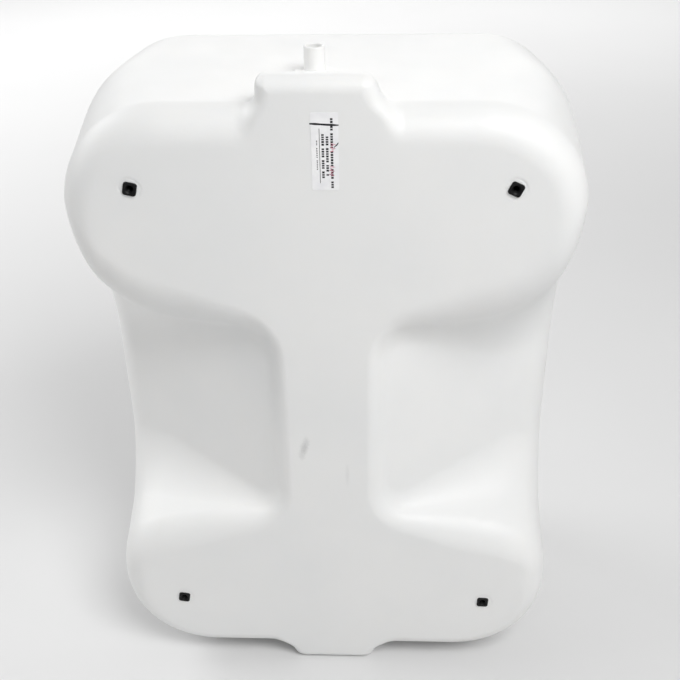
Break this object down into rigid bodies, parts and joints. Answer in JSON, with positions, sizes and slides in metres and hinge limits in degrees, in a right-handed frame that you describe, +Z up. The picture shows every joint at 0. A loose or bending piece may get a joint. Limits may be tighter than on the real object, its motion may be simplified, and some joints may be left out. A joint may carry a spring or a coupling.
{
  "type": "fresh water tank",
  "caption": "Upright rotomoulded water tank with an H-shaped mounting face, waisted sides, a top vent spigot, a screw filling cap, a hose outlet and a quarter-turn drain cock.",
  "frame": {"origin": "under the middle of the whole part, on the surface that the foot stands on", "axes": "+X to the right of the mounting face, +Y from the mounting face to the back, +Z up"},
  "size_m": [0.582, 0.423, 0.848],
  "materials": {
    "shell_plastic": "natural white polyethylene, fine orange-peel",
    "insert_black": "black oxide, satin",
    "label_film": "white printed film",
    "fitting_black": "black polypropylene, satin",
    "seal_rubber": "matte",
    "brass": "turned, satin",
    "seat_ptfe": "PTFE",
    "steel": "turned stainless steel",
    "lever_red": "dipped vinyl over steel"
  },
  "bodies": {
    "tank": {"tank_shell": "shell_plastic", "mounting_insert_top_left": "insert_black", "mounting_insert_top_right": "insert_black", "mounting_insert_bottom_left": "insert_black", "mounting_insert_bottom_right": "insert_black", "vent_spigot": "shell_plastic", "test_label": "label_film", "fill_neck": "shell_plastic", "outlet_bulkhead": "fitting_black", "outlet_gasket": "seal_rubber", "outlet_nut": "fitting_black", "outlet_barb": "fitting_black", "drain_bushing": "brass", "drain_valve_body": "brass", "drain_valve_retainer": "brass", "drain_seat_inner": "seat_ptfe", "drain_seat_outer": "seat_ptfe"},
    "cap_gasket": {"fill_cap_gasket": "seal_rubber"},
    "cap": {"fill_cap": "fitting_black"},
    "drain_handle": {"drain_ball": "steel", "drain_stem": "steel", "drain_stem_ring": "seal_rubber", "drain_lever": "lever_red", "drain_lever_screw": "steel"}
  },
  "joints": [
    {"name": "cap_lift", "type": "slide", "parent": "tank", "child": "cap_gasket", "axis": [0, 1, 0], "range_m": [0, 0.012]},
    {"name": "cap_turn", "type": "hinge", "parent": "cap_gasket", "child": "cap", "pos_m": [0, 0.1725, 0.68], "axis": [0, 1, 0], "range_deg": [0, 1080]},
    {"name": "drain_turn", "type": "hinge", "parent": "tank", "child": "drain_handle", "pos_m": [0, 0.1685, 0.036], "axis": [0, 0, 1], "range_deg": [0, 90]}
  ],
  "couplings": [
    {"joint": "cap_lift", "follows": "cap_turn", "m_per_rad": 0.00063662}
  ]
}
